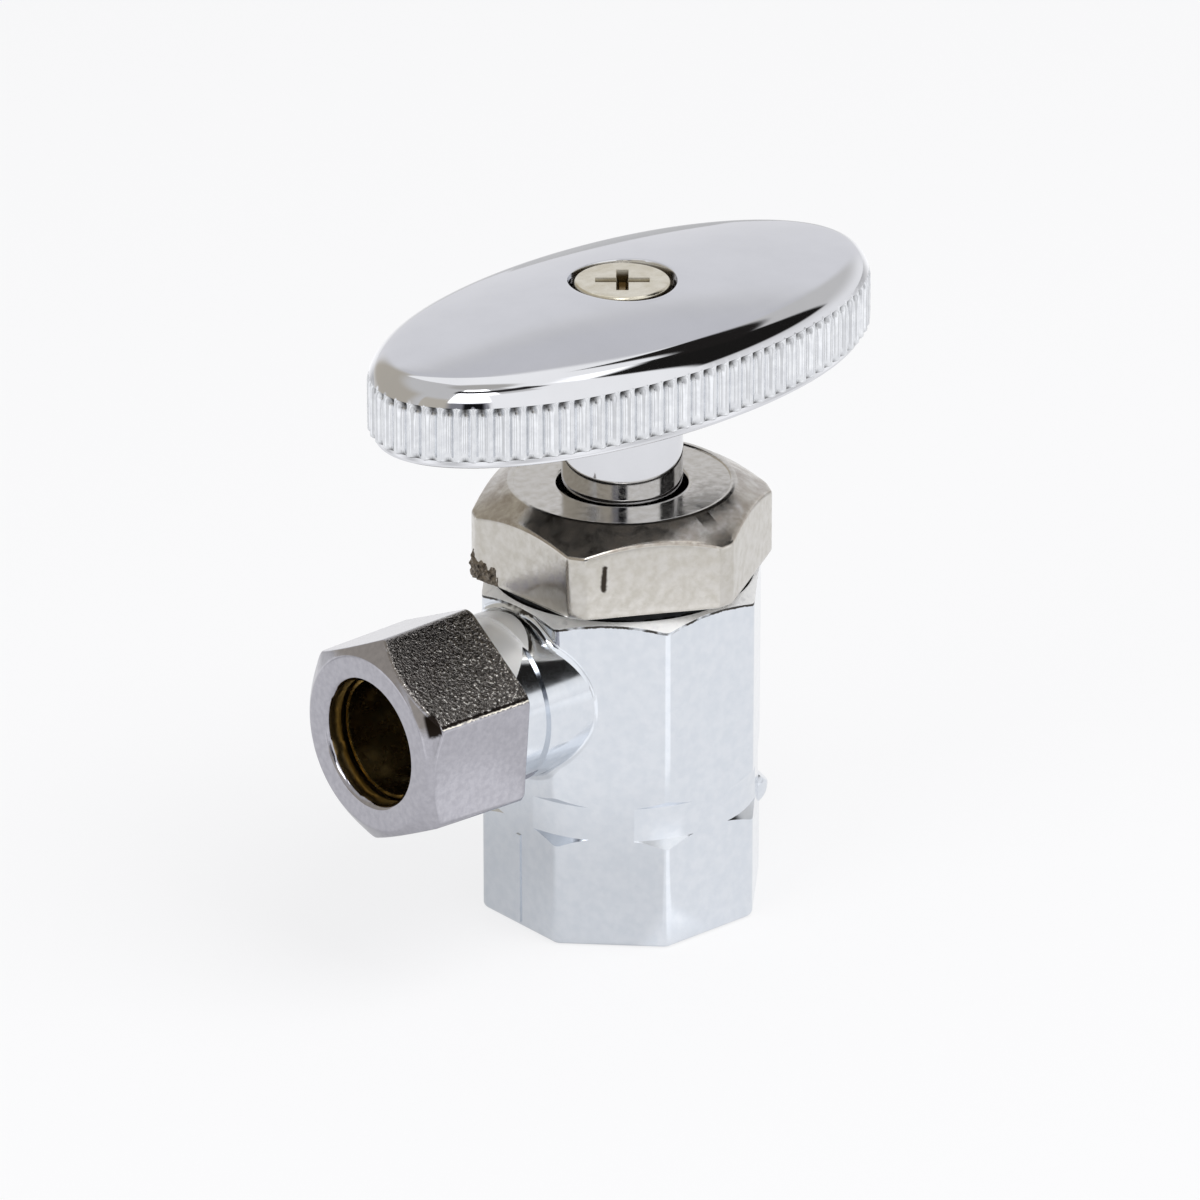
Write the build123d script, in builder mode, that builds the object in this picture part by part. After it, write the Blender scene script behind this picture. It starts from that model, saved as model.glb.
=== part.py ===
from build123d import *
from math import atan2, degrees, pi, radians, tan
import os

os.makedirs("parts", exist_ok=True)

# Angle valve with a 3/8 inch pipe inlet below and a 3/8 inch compression outlet at the side.
# Millimetres. The origin is the centre of the inlet face, +Z runs up the stem and +X out of the outlet.

# Forged body
body_flats = 22.2
octagon_turn = 22.5
body_height = 28.95
body_corner_round = 1.0
body_base_round = 0.5
body_top_radius = 10.8
body_top_angle = 31
waist_drop = 16.45
waist_length = 2.9
waist_radius = 11.25
ledge_slope = 0.7
ridge_width = 0.5
ridge_height = 0.12
swell_angle = 157.5
swell_reach = 12.6
swell_radius = 2.0
swell_drop = 0.8

# Inlet, seat and valve chamber
inlet_radius = 8.5
inlet_mouth_chamfer = 0.4
web_thickness = 5.0
web_cone_rise = 2.6
orifice_radius = 3.2
chamber_depth = 13.75
chamber_radius = 7.6
seat_land = 0.8
closing_gap = 0.03

# Outlet spigot
outlet_drop = 7.65
outlet_passage_radius = 2.7
neck_radius = 7.0
neck_end = 13.5
neck_root_round = 0.6
relief_radius = 6.7
thread_radius = 7.1
thread_start = 16.2
thread_break = 0.5
spigot_end = 20.6
tube_radius = 4.7625
tube_clearance = 0.0875
tube_socket_depth = 5.5
cone_angle = 24

# Gasket and bonnet nut
gasket_thickness = 0.65
gasket_radius = 9.9
gasket_slack = 0.1
bonnet_flats = 22.2
bonnet_turned_radius = 12.4
bonnet_hex_height = 7.3
bonnet_turn = 32.1
bonnet_base_break = 0.2
bonnet_cone_angle = 31
bonnet_lip_radius = 9.25
bonnet_lip_width = 0.4
bonnet_lip_height = 0.12
bonnet_skirt_radius = 8.35
bonnet_skirt_clearance = 0.05
bonnet_skirt_length = 5.4
bonnet_bore_radius = 5.35
bonnet_bore_chamfer = 0.15
gland_length = 2.8
ring_groove_height = 1.8
ring_groove_radius = 5.05
ring_gap = 0.02

# Stem and its travel
lead = 1.25
turns_to_close = 2.5
hub_entry = 0.9
hub_floor_gap = 0.4
shaft_radius = 3.5
stem_thread_radius = 4.6
running_clearance = 0.05
thread_top_gap = 0.25
thread_length = 6.4
spline_radius = 2.9
spline_length = 11.3
spline_teeth = 16
spline_depth = 0.25
stem_chamfer = 0.4

# Swivelling seat disc under the stem
disc_radius = 4.9
disc_thickness = 1.2
disc_gap = 0.1
stalk_radius = 1.4
stalk_lip = 0.8
collar_radius = 2.1
collar_height = 0.8
washer_radius = 4.6
washer_thickness = 2.0
washer_edge_round = 0.3
washer_nut_flats = 4.6
washer_nut_height = 1.1
stud_radius = 1.2
stud_length = 3.3

# Handle
handle_length = 49.8
handle_width = 25.2
handle_turn = 1.5
rim_bottom = 45.7
lip_height = 0.6
lip_inset = 0.5
flute_length = 4.7
tooth_pitch = 1.345
tooth_depth = 0.4
tooth_gap_outer = 0.75
tooth_gap_inner = 0.5
handle_height = 8.8
crown_length_radius = 145
crown_width_radius = 35
crown_edge_round = 2.8
handle_wall = 1.6
crown_wall = 2.4
roof_round = 1.2
hub_radius = 4.95
hub_root_round = 1.0
hub_end_break = 0.2
spline_gap = 0.02
well_radius = 4.4
well_depth = 1.5

# Handle screw
screw_head_radius = 3.9
screw_head_height = 1.3
screw_head_round = 0.25
screw_radius = 2.05
screw_length = 10.5
screw_hole_clearance = 0.2
phillips_span = 4.4
phillips_slot = 1.0
phillips_depth = 1.0
phillips_taper = 14
phillips_turn = 49.5

# Compression nut and sleeve
nut_flats = 16.1
nut_draft = 1.0
nut_rear = 16.8
nut_length = 10.1
nut_turn = 25.0
nut_face_radius = 7.35
nut_front_angle = 37
nut_rear_radius = 8.95
nut_rear_angle = 30
nut_thread_clearance = 0.1
nut_mouth_radius = 5.2
nut_mouth_length = 1.5
nut_mouth_chamfer = 0.35
nut_cone_angle = 40
sleeve_radius = 5.55
sleeve_length = 6.0
sleeve_setback = 1.95
sleeve_end_chamfer = 0.45
sleeve_gap = 0.15

# Heights and stations worked out from the sizes above
outlet_height = body_height - outlet_drop
outlet_axis = Axis((0, 0, outlet_height), (1, 0, 0))
waist_top = body_height - waist_drop
waist_bottom = waist_top - waist_length
ledge_height = waist_bottom - ledge_slope
chamber_floor = body_height - chamber_depth
inlet_depth = chamber_floor - web_thickness
gasket_top = body_height + gasket_thickness
bonnet_top = gasket_top + bonnet_hex_height
bonnet_face = bonnet_top - bonnet_lip_height
skirt_end = gasket_top - bonnet_skirt_length
travel = lead * turns_to_close
hub_end = bonnet_top - hub_entry
hub_well_floor = hub_end - travel - hub_floor_gap
gland_bore_radius = shaft_radius + running_clearance
gland_floor = hub_well_floor - gland_length
groove_bottom = gland_floor + (gland_length - ring_groove_height) / 2
groove_top = groove_bottom + ring_groove_height
stem_bore_radius = stem_thread_radius + running_clearance
thread_top = gland_floor - thread_top_gap
stem_end = thread_top - thread_length
stem_top = hub_end + spline_length
disc_top = stem_end - disc_gap
washer_top = disc_top - disc_thickness
washer_bottom = washer_top - washer_thickness
seat_height = washer_bottom - travel - closing_gap
collar_bottom = stem_end + stalk_lip + disc_gap
crown_top = rim_bottom + handle_height
roof = crown_top - crown_wall
screw_seat = crown_top - well_depth
socket_radius = tube_radius + tube_clearance
nut_front = nut_rear + nut_length
sleeve_front = nut_front - sleeve_setback
sleeve_shoulder = sleeve_front - sleeve_length + sleeve_end_chamfer
cone_slope = tan(radians(cone_angle))
cone_root = sleeve_shoulder - (sleeve_radius + sleeve_gap - socket_radius) / cone_slope
cone_mouth_radius = sleeve_radius + sleeve_gap + (spigot_end - sleeve_shoulder) * cone_slope
socket_floor = cone_root - tube_socket_depth
handle_plane = Plane.XY.rotated((0, 0, handle_turn))
handle_section = Plane((0, 0, 0), x_dir=handle_plane.y_dir, z_dir=handle_plane.x_dir)

# Body: an octagonal forging with a turned waist, a spigot for the compression nut, and its bores
with BuildPart() as body:
    with BuildSketch(Plane.XY) as octagon:
        RegularPolygon(body_flats / 2, 8, major_radius=False, rotation=octagon_turn)
        fillet(octagon.vertices(), body_corner_round)
    extrude(amount=body_height)
    fillet(body.edges().group_by(Axis.Z)[0], body_base_round)

    # The top corners are turned off at an angle, down from the ring that the gasket sits on
    top_reach = body_flats - body_top_radius
    with BuildSketch(Plane.XZ):
        with BuildLine():
            Polyline(
                (body_top_radius, body_height),
                (body_flats, body_height),
                (body_flats, body_height - top_reach * tan(radians(body_top_angle))),
                close=True,
            )
        make_face()
    revolve(axis=Axis.Z, mode=Mode.SUBTRACT)

    # One corner was forged a little too full where the waist will leave its ledge
    with PolarLocations(swell_reach - swell_radius, 1, start_angle=swell_angle):
        with Locations((0, 0, ledge_height - swell_drop)):
            Sphere(swell_radius)

    # The waist bites into the corners only, because it is turned just outside the flats
    waist_reach = body_flats - waist_radius
    with BuildSketch(Plane.XZ):
        with BuildLine():
            Polyline(
                (waist_radius, waist_bottom),
                (waist_radius, waist_top),
                (body_flats, waist_top + waist_reach),
                (body_flats, waist_bottom - waist_reach),
                close=True,
            )
        make_face()
    revolve(axis=Axis.Z, mode=Mode.SUBTRACT)

    # The forging dies met on the plane through the spigot and left a fine ridge there
    with BuildSketch(Plane.XY.offset(body_base_round)):
        with Locations((body_flats / 2, 0), (-body_flats / 2, 0)):
            Rectangle(2 * ridge_height, ridge_width)
    extrude(amount=ledge_height - 2 * body_base_round)

    # Neck of the spigot, rounded into the flats, then the thread relief and the thread
    with BuildSketch(Plane.YZ):
        with Locations((0, outlet_height)):
            Circle(neck_radius)
    extrude(amount=neck_end)
    neck_root = body.edges(Select.LAST).filter_by(lambda e: e.center().X < neck_end - 1)
    fillet(neck_root, neck_root_round)
    with BuildSketch(Plane.XZ):
        with BuildLine():
            Polyline(
                (0, outlet_height),
                (0, outlet_height + relief_radius),
                (thread_start, outlet_height + relief_radius),
                (thread_start, outlet_height + thread_radius),
                (spigot_end - thread_break, outlet_height + thread_radius),
                (spigot_end, outlet_height + thread_radius - thread_break),
                (spigot_end, outlet_height),
                close=True,
            )
        make_face()
    revolve(axis=outlet_axis)

    # Inlet, drilled web, raised seat, chamber and the threaded well for the bonnet nut
    with BuildSketch(Plane.XZ):
        with BuildLine():
            Polyline(
                (0, 0),
                (inlet_radius + inlet_mouth_chamfer, 0),
                (inlet_radius, inlet_mouth_chamfer),
                (inlet_radius, inlet_depth),
                (orifice_radius, inlet_depth + web_cone_rise),
                (orifice_radius, seat_height),
                (orifice_radius + seat_land, seat_height),
                (orifice_radius + seat_land, chamber_floor),
                (chamber_radius, chamber_floor),
                (chamber_radius, skirt_end),
                (bonnet_skirt_radius + bonnet_skirt_clearance, skirt_end),
                (bonnet_skirt_radius + bonnet_skirt_clearance, body_height),
                (0, body_height),
                close=True,
            )
        make_face()
    revolve(axis=Axis.Z, mode=Mode.SUBTRACT)

    # Outlet passage, tube socket and the cone that squeezes the sleeve
    with BuildSketch(Plane.XZ):
        with BuildLine():
            Polyline(
                (0, outlet_height),
                (0, outlet_height + outlet_passage_radius),
                (socket_floor, outlet_height + outlet_passage_radius),
                (socket_floor, outlet_height + socket_radius),
                (cone_root, outlet_height + socket_radius),
                (spigot_end, outlet_height + cone_mouth_radius),
                (spigot_end, outlet_height),
                close=True,
            )
        make_face()
    revolve(axis=outlet_axis, mode=Mode.SUBTRACT)
body.part.label = "valve_body"
export_step(body.part, "parts/valve_body.step")

# Gasket ring, the dark line between the body and the bonnet nut
with BuildPart() as gasket:
    with BuildSketch(Plane.XY.offset(body_height)):
        Circle(gasket_radius)
        Circle(bonnet_skirt_radius + gasket_slack, mode=Mode.SUBTRACT)
    extrude(amount=gasket_thickness)
gasket.part.label = "bonnet_gasket"
export_step(gasket.part, "parts/bonnet_gasket.step")

# Bonnet nut: a hexagon with turned corners and cone, a threaded skirt, and the gland for the stem
with BuildPart() as bonnet:
    with BuildSketch(Plane.XY.offset(gasket_top)):
        RegularPolygon(bonnet_flats / 2, 6, major_radius=False, rotation=bonnet_turn)
    extrude(amount=bonnet_hex_height)

    # One turned envelope trims the corners, cuts the cone and leaves the thin lip round the top face
    cone_drop = (bonnet_turned_radius - bonnet_lip_radius) * tan(radians(bonnet_cone_angle))
    with BuildSketch(Plane.XZ):
        with BuildLine():
            Polyline(
                (0, gasket_top),
                (bonnet_turned_radius - bonnet_base_break, gasket_top),
                (bonnet_turned_radius, gasket_top + bonnet_base_break),
                (bonnet_turned_radius, bonnet_top - cone_drop),
                (bonnet_lip_radius, bonnet_top),
                (bonnet_lip_radius - bonnet_lip_width, bonnet_top),
                (bonnet_lip_radius - bonnet_lip_width, bonnet_face),
                (0, bonnet_face),
                close=True,
            )
        make_face()
    revolve(axis=Axis.Z, mode=Mode.INTERSECT)

    with BuildSketch(Plane.XY.offset(skirt_end)):
        Circle(bonnet_skirt_radius)
    extrude(amount=bonnet_skirt_length)

    # Well for the handle hub, gland with its ring groove, and the bore for the stem thread
    with BuildSketch(Plane.XZ):
        with BuildLine():
            Polyline(
                (0, skirt_end),
                (stem_bore_radius, skirt_end),
                (stem_bore_radius, gland_floor),
                (gland_bore_radius, gland_floor),
                (gland_bore_radius, groove_bottom),
                (ring_groove_radius, groove_bottom),
                (ring_groove_radius, groove_top),
                (gland_bore_radius, groove_top),
                (gland_bore_radius, hub_well_floor),
                (bonnet_bore_radius, hub_well_floor),
                (bonnet_bore_radius, bonnet_face - bonnet_bore_chamfer),
                (bonnet_bore_radius + bonnet_bore_chamfer, bonnet_face),
                (0, bonnet_face),
                close=True,
            )
        make_face()
    revolve(axis=Axis.Z, mode=Mode.SUBTRACT)
bonnet.part.label = "bonnet_nut"
export_step(bonnet.part, "parts/bonnet_nut.step")

# Rubber ring in the gland, squeezed into its groove and down to the stem
ring_width = ring_groove_radius - shaft_radius - 2 * ring_gap
ring_tall = ring_groove_height - 2 * ring_gap
with BuildPart() as stem_ring:
    with BuildSketch(Plane.XZ):
        with Locations(((shaft_radius + ring_groove_radius) / 2, (groove_bottom + groove_top) / 2)):
            RectangleRounded(ring_width, ring_tall, ring_width / 3)
    revolve(axis=Axis.Z)
stem_ring.part.label = "stem_o_ring"
export_step(stem_ring.part, "parts/stem_o_ring.step")

# Stem: spline for the handle, plain shaft in the gland, thread, and a pocket that holds the seat disc
with BuildPart() as stem:
    with BuildSketch(Plane.XZ):
        with BuildLine():
            Polyline(
                (0, stem_end),
                (stem_thread_radius - thread_break, stem_end),
                (stem_thread_radius, stem_end + thread_break),
                (stem_thread_radius, thread_top - thread_break),
                (stem_thread_radius - thread_break, thread_top),
                (shaft_radius, thread_top),
                (shaft_radius, hub_end),
                (spline_radius, hub_end),
                (spline_radius, stem_top - stem_chamfer),
                (spline_radius - stem_chamfer, stem_top),
                (0, stem_top),
                close=True,
            )
        make_face()
    revolve(axis=Axis.Z)

    # Spline grooves, and the tapped hole for the handle screw
    with BuildSketch(Plane.XY.offset(hub_end)):
        with PolarLocations(spline_radius, spline_teeth):
            Rectangle(2 * spline_depth, pi * spline_radius / spline_teeth)
    extrude(amount=spline_length, mode=Mode.SUBTRACT)
    with BuildSketch(Plane.XY.offset(screw_seat - screw_length)):
        Circle(screw_radius)
    extrude(amount=stem_top - screw_seat + screw_length, mode=Mode.SUBTRACT)

    # Pocket for the collar of the seat disc, above the lip that was rolled in under it
    with BuildSketch(Plane.XY.offset(stem_end)):
        Circle(stalk_radius + running_clearance)
    extrude(amount=stalk_lip, mode=Mode.SUBTRACT)
    with BuildSketch(Plane.XY.offset(stem_end + stalk_lip)):
        Circle(collar_radius + running_clearance)
    extrude(amount=collar_height + 2 * disc_gap, mode=Mode.SUBTRACT)
stem.part.label = "stem"
export_step(stem.part, "parts/stem.step")

# Seat disc: a plate on a collared stalk, so that it follows the stem up and down without turning
with BuildPart() as seat_disc:
    with BuildSketch(Plane.XZ):
        with BuildLine():
            Polyline(
                (0, washer_top - stud_length),
                (stud_radius, washer_top - stud_length),
                (stud_radius, washer_top),
                (disc_radius, washer_top),
                (disc_radius, disc_top),
                (stalk_radius, disc_top),
                (stalk_radius, collar_bottom),
                (collar_radius, collar_bottom),
                (collar_radius, collar_bottom + collar_height),
                (0, collar_bottom + collar_height),
                close=True,
            )
        make_face()
    revolve(axis=Axis.Z)
seat_disc.part.label = "seat_disc"
export_step(seat_disc.part, "parts/seat_disc.step")

# Rubber washer that closes on the seat
with BuildPart() as seat_washer:
    with BuildSketch(Plane.XY.offset(washer_bottom)):
        Circle(washer_radius)
        Circle(stud_radius, mode=Mode.SUBTRACT)
    extrude(amount=washer_thickness)
    rims = seat_washer.edges().filter_by(GeomType.CIRCLE)
    fillet(rims.filter_by(lambda e: e.radius > stud_radius), washer_edge_round)
seat_washer.part.label = "seat_washer"
export_step(seat_washer.part, "parts/seat_washer.step")

# Small nut that holds the rubber washer on the disc
with BuildPart() as washer_nut:
    with BuildSketch(Plane.XY.offset(washer_bottom)):
        RegularPolygon(washer_nut_flats / 2, 6, major_radius=False)
        Circle(stud_radius, mode=Mode.SUBTRACT)
    extrude(amount=-washer_nut_height)
washer_nut.part.label = "washer_nut"
export_step(washer_nut.part, "parts/washer_nut.step")

# Places of the gaps between the handle's teeth, evenly spaced along its oval outline
outline = Edge.make_ellipse(handle_length / 2, handle_width / 2)
tooth_count = round(outline.length / tooth_pitch)
tooth_gaps = []
for tooth in range(tooth_count):
    along = outline.length * tooth / tooth_count
    spot = outline.position_at(along, PositionMode.LENGTH)
    heading = outline.tangent_at(along, PositionMode.LENGTH)
    tooth_gaps.append(Location((spot.X, spot.Y), degrees(atan2(heading.Y, heading.X))))

# Handle: a die-cast oval with a toothed rim, a domed crown, a hollow underside and a splined hub
with BuildPart() as handle:
    # Oval block under a crown that is domed more across the handle than along it, then rounded over
    with BuildSketch(handle_plane.offset(rim_bottom + lip_height)):
        Ellipse(handle_length / 2, handle_width / 2)
    extrude(amount=handle_height - lip_height)
    dome_centre = crown_top - crown_length_radius
    dome_end = handle_width / 2 + crown_edge_round
    dome_sag = crown_width_radius - (crown_width_radius ** 2 - dome_end ** 2) ** 0.5
    with BuildSketch(handle_section):
        with BuildLine():
            dome = ThreePointArc(
                (-dome_end, dome_centre - crown_length_radius + dome_sag),
                (0, dome_centre - crown_length_radius),
                (dome_end, dome_centre - crown_length_radius + dome_sag),
            )
            Polyline(dome @ 1, (dome_end, dome_centre), (-dome_end, dome_centre), dome @ 0)
        make_face()
    revolve(axis=Axis((0, 0, dome_centre), tuple(handle_plane.y_dir)), mode=Mode.INTERSECT)
    fillet(handle.faces().sort_by(Axis.Z)[-1].edges(), crown_edge_round)

    # Flutes between the teeth, which end just under the rounded shoulder, and the smooth lip below
    with BuildSketch(handle_plane.offset(rim_bottom + lip_height)):
        with Locations(*tooth_gaps):
            Polygon(
                (-tooth_gap_outer, -2 * tooth_depth),
                (tooth_gap_outer, -2 * tooth_depth),
                (tooth_gap_inner / 2, tooth_depth),
                (-tooth_gap_inner / 2, tooth_depth),
                align=None,
            )
    extrude(amount=flute_length, mode=Mode.SUBTRACT)
    with BuildSketch(handle_plane.offset(rim_bottom)):
        Ellipse(handle_length / 2 - lip_inset, handle_width / 2 - lip_inset)
    extrude(amount=lip_height)

    # Hollow underside, then the hub with its spline socket
    shell_inset = tooth_depth + handle_wall
    with BuildSketch(handle_plane.offset(rim_bottom)):
        Ellipse(handle_length / 2 - shell_inset, handle_width / 2 - shell_inset)
    extrude(amount=roof - rim_bottom, mode=Mode.SUBTRACT)
    fillet(handle.edges().filter_by_position(Axis.Z, roof, roof), roof_round)
    with BuildSketch(Plane.XY.offset(hub_end)):
        Circle(hub_radius)
    extrude(amount=roof - hub_end)
    hub_root = handle.edges().filter_by(GeomType.CIRCLE).filter_by_position(Axis.Z, roof, roof)
    fillet(hub_root, hub_root_round)
    chamfer(handle.edges().group_by(Axis.Z)[0], hub_end_break)
    with BuildSketch(Plane.XY.offset(hub_end)):
        Circle(spline_radius + spline_gap)
    extrude(amount=spline_length + spline_gap, mode=Mode.SUBTRACT)

    # Well for the screw head and the hole for its shank
    with BuildSketch(Plane.XY.offset(screw_seat)):
        Circle(well_radius)
    extrude(amount=well_depth, mode=Mode.SUBTRACT)
    with BuildSketch(Plane.XY.offset(stem_top)):
        Circle(screw_radius + screw_hole_clearance)
    extrude(amount=screw_seat - stem_top, mode=Mode.SUBTRACT)
handle.part.label = "handle"
export_step(handle.part, "parts/handle.step")

# Handle screw with a cross recess
with BuildPart() as screw:
    with BuildSketch(Plane.XY.offset(screw_seat - screw_length)):
        Circle(screw_radius)
    extrude(amount=screw_length)
    with BuildSketch(Plane.XY.offset(screw_seat)):
        Circle(screw_head_radius)
    extrude(amount=screw_head_height)
    fillet(screw.edges().group_by(Axis.Z)[-1], screw_head_round)
    with BuildSketch(Plane.XY.offset(screw_seat + screw_head_height)):
        Rectangle(phillips_span, phillips_slot, rotation=phillips_turn)
        Rectangle(phillips_slot, phillips_span, rotation=phillips_turn)
    extrude(amount=-phillips_depth, taper=phillips_taper, mode=Mode.SUBTRACT)
screw.part.label = "handle_screw"
export_step(screw.part, "parts/handle_screw.step")

# Compression nut: a hexagon across the outlet with a deep front chamfer and a cone for the sleeve
with BuildPart() as compression_nut:
    with BuildSketch(Plane.YZ.offset(nut_rear)):
        with Locations((0, outlet_height)):
            RegularPolygon(nut_flats / 2, 6, major_radius=False, rotation=nut_turn)
    extrude(amount=nut_length, taper=nut_draft)
    nut_reach = 0.6 * nut_flats
    front_slope = (nut_reach - nut_face_radius) * tan(radians(nut_front_angle))
    rear_slope = (nut_reach - nut_rear_radius) * tan(radians(nut_rear_angle))
    with BuildSketch(Plane.XZ):
        with BuildLine():
            Polyline(
                (nut_rear, outlet_height),
                (nut_rear, outlet_height + nut_rear_radius),
                (nut_rear + rear_slope, outlet_height + nut_reach),
                (nut_front - front_slope, outlet_height + nut_reach),
                (nut_front, outlet_height + nut_face_radius),
                (nut_front, outlet_height),
                close=True,
            )
        make_face()
    revolve(axis=outlet_axis, mode=Mode.INTERSECT)

    nut_bore_radius = thread_radius + nut_thread_clearance
    cone_front = nut_front - nut_mouth_length
    cone_rear = cone_front - (nut_bore_radius - nut_mouth_radius) / tan(radians(nut_cone_angle))
    with BuildSketch(Plane.XZ):
        with BuildLine():
            Polyline(
                (nut_rear, outlet_height),
                (nut_rear, outlet_height + nut_bore_radius),
                (cone_rear, outlet_height + nut_bore_radius),
                (cone_front, outlet_height + nut_mouth_radius),
                (nut_front - nut_mouth_chamfer, outlet_height + nut_mouth_radius),
                (nut_front, outlet_height + nut_mouth_radius + nut_mouth_chamfer),
                (nut_front, outlet_height),
                close=True,
            )
        make_face()
    revolve(axis=outlet_axis, mode=Mode.SUBTRACT)
compression_nut.part.label = "compression_nut"
export_step(compression_nut.part, "parts/compression_nut.step")

# Brass sleeve that the nut squeezes round the tube
with BuildPart() as sleeve:
    with BuildSketch(Plane.YZ.offset(sleeve_front - sleeve_length)):
        with Locations((0, outlet_height)):
            Circle(sleeve_radius)
            Circle(socket_radius, mode=Mode.SUBTRACT)
    extrude(amount=sleeve_length)
    ends = sleeve.edges().filter_by(GeomType.CIRCLE).filter_by(lambda e: e.radius > socket_radius)
    chamfer(ends, sleeve_end_chamfer)
sleeve.part.label = "compression_sleeve"
export_step(sleeve.part, "parts/compression_sleeve.step")
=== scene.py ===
from bisect import bisect_right
from math import atan, cos, degrees, exp, hypot, pi, radians, sin, sqrt, tan

import bmesh
import bpy
from mathutils import Matrix, Vector, noise


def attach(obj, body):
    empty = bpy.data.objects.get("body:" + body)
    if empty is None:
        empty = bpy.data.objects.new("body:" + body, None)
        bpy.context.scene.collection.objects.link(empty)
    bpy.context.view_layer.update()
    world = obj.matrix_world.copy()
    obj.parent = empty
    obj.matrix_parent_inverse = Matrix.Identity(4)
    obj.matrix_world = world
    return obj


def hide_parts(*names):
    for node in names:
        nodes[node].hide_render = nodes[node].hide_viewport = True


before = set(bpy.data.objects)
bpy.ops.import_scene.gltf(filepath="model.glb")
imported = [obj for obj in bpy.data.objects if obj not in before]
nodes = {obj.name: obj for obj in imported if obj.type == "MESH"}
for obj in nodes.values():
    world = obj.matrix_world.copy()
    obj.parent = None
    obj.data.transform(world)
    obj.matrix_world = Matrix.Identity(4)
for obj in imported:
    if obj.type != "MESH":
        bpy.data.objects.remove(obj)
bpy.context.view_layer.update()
MM = 0.001

# Camera, found by fitting the valve's own edges in the photograph
CAMERA_AZIMUTH = 49.49
CAMERA_HEIGHT_ANGLE = 24.02
CAMERA_DISTANCE = 726.5 * MM
CAMERA_LENS = 266.8
AIM_HEIGHT = 26.118 * MM
AIM_SIDESTEP = -1.798 * MM

# Handle, in millimetres as the part's source has it
HANDLE_HALF_LENGTH = 24.9
HANDLE_HALF_WIDTH = 12.6
HANDLE_TURN = 1.5
TOOTH_COUNT = 90
TOOTH_DEPTH = 0.4
RIDGE_HALF_WIDTH = 0.36
LIP_INSET = 0.5
RIM_BOTTOM = 45.7
LIP_TOP = 46.3
FLUTE_TOP = 51.0
CROWN_TOP = 54.5
CROWN_LENGTH_RADIUS = 145
CROWN_WIDTH_RADIUS = 35
SHOULDER_ROUND = 2.8
HOLLOW_INSET = 2.0
HOLLOW_ROOF = 52.1
ROOF_ROUND = 1.2
HUB_RADIUS = 4.95
HUB_ROOT_ROUND = 1.0
HUB_END = 36.0
SPLINE_BORE = 2.92
STEM_TOP = 47.32
SCREW_HOLE = 2.25
WELL_RADIUS = 4.4
WELL_FLOOR = 53.0

# Bonnet nut
BONNET_BOTTOM = 29.6
BONNET_TOP = 36.9
BONNET_FACE = 36.78
BONNET_FLATS = 22.2
BONNET_TURNED_RADIUS = 12.4
BONNET_TURN = 32.1
BONNET_CONE_ANGLE = 31
BONNET_LIP_RADIUS = 9.25
BONNET_LIP_WIDTH = 0.4
BONNET_BORE = 5.35
SKIRT_RADIUS = 8.35
SKIRT_END = 24.2
STEM_THREAD_BORE = 4.65
GLAND_FLOOR = 29.675
GLAND_BORE = 3.55
GROOVE_RADIUS = 5.05
GROOVE_BOTTOM = 30.175
GROOVE_TOP = 31.975
HUB_WELL_FLOOR = 32.475
CREST_ROUND = 0.5

# Dent in the bonnet nut's flat, drawn only as a painted shade mark, and the burr on its lower corner: angles in degrees
# from the flat's middle
DENT_TOP = (8.69, 7.96, 34.1)
DENT_FOOT = (8.75, 7.93, 32.2)
DENT_WIDTH = 0.34
BURR_START = -31
BURR_SPAN = 18
BURR_FOOT = 29.72
BURR_HEIGHT = 2.2

# Chamfer turned round the octagonal body's top
BODY_TOP = 28.95
BODY_CHAMFER_START = 10.8
BODY_CHAMFER_ANGLE = 31

# Compression nut, lying across on the outlet's axis
OUTLET_HEIGHT = 21.3
NUT_REAR = 16.8
NUT_FRONT = 26.9
NUT_FLATS = 16.1
NUT_DRAFT = 1.0
NUT_TURN = 25.0
NUT_FACE_RADIUS = 7.35
NUT_FRONT_ANGLE = 37
NUT_REAR_RADIUS = 8.95
NUT_REAR_ANGLE = 30
NUT_BORE = 7.2
NUT_MOUTH = 5.2
NUT_MOUTH_CHAMFER = 0.35
NUT_CONE_REAR = 23.02
NUT_CONE_FRONT = 25.4
NUT_CORNER_ROUND = 0.8
NUT_EDGE_ROUND = 0.35
SLEEVE_SETBACK = 1.95


def place_camera():
    azimuth = radians(CAMERA_AZIMUTH)
    height = radians(CAMERA_HEIGHT_ANGLE)
    outward = Vector((cos(height) * cos(azimuth), cos(height) * sin(azimuth), sin(height)))
    rightward = Vector((-sin(azimuth), cos(azimuth), 0))
    aim = Vector((0, 0, AIM_HEIGHT)) + rightward * AIM_SIDESTEP
    data = bpy.data.cameras.new("photo_camera")
    data.lens = CAMERA_LENS
    data.sensor_width = 36
    data.clip_start = 0.01
    data.clip_end = 50
    camera = bpy.data.objects.new("photo_camera", data)
    bpy.context.scene.collection.objects.link(camera)
    camera.location = aim + outward * CAMERA_DISTANCE
    camera.rotation_euler = (-outward).to_track_quat("-Z", "Y").to_euler()
    bpy.context.scene.camera = camera


# Shared helpers for materials
def linear(code):
    """An sRGB hex colour as linear RGBA."""
    parts = [int(code[i:i + 2], 16) / 255 for i in (1, 3, 5)]
    return [p / 12.92 if p <= 0.04045 else ((p + 0.055) / 1.055) ** 2.4 for p in parts] + [1]


def add(tree, kind, settings=None, links=None):
    """Adds one node, sets its properties and socket values, and links its inputs."""
    node = tree.nodes.new(kind)
    for key, value in (settings or {}).items():
        if isinstance(key, str) and hasattr(node, key) and key not in node.inputs:
            setattr(node, key, value)
        else:
            node.inputs[key].default_value = value
    for key, source in (links or {}).items():
        tree.links.new(source, node.inputs[key])
    return node


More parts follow.
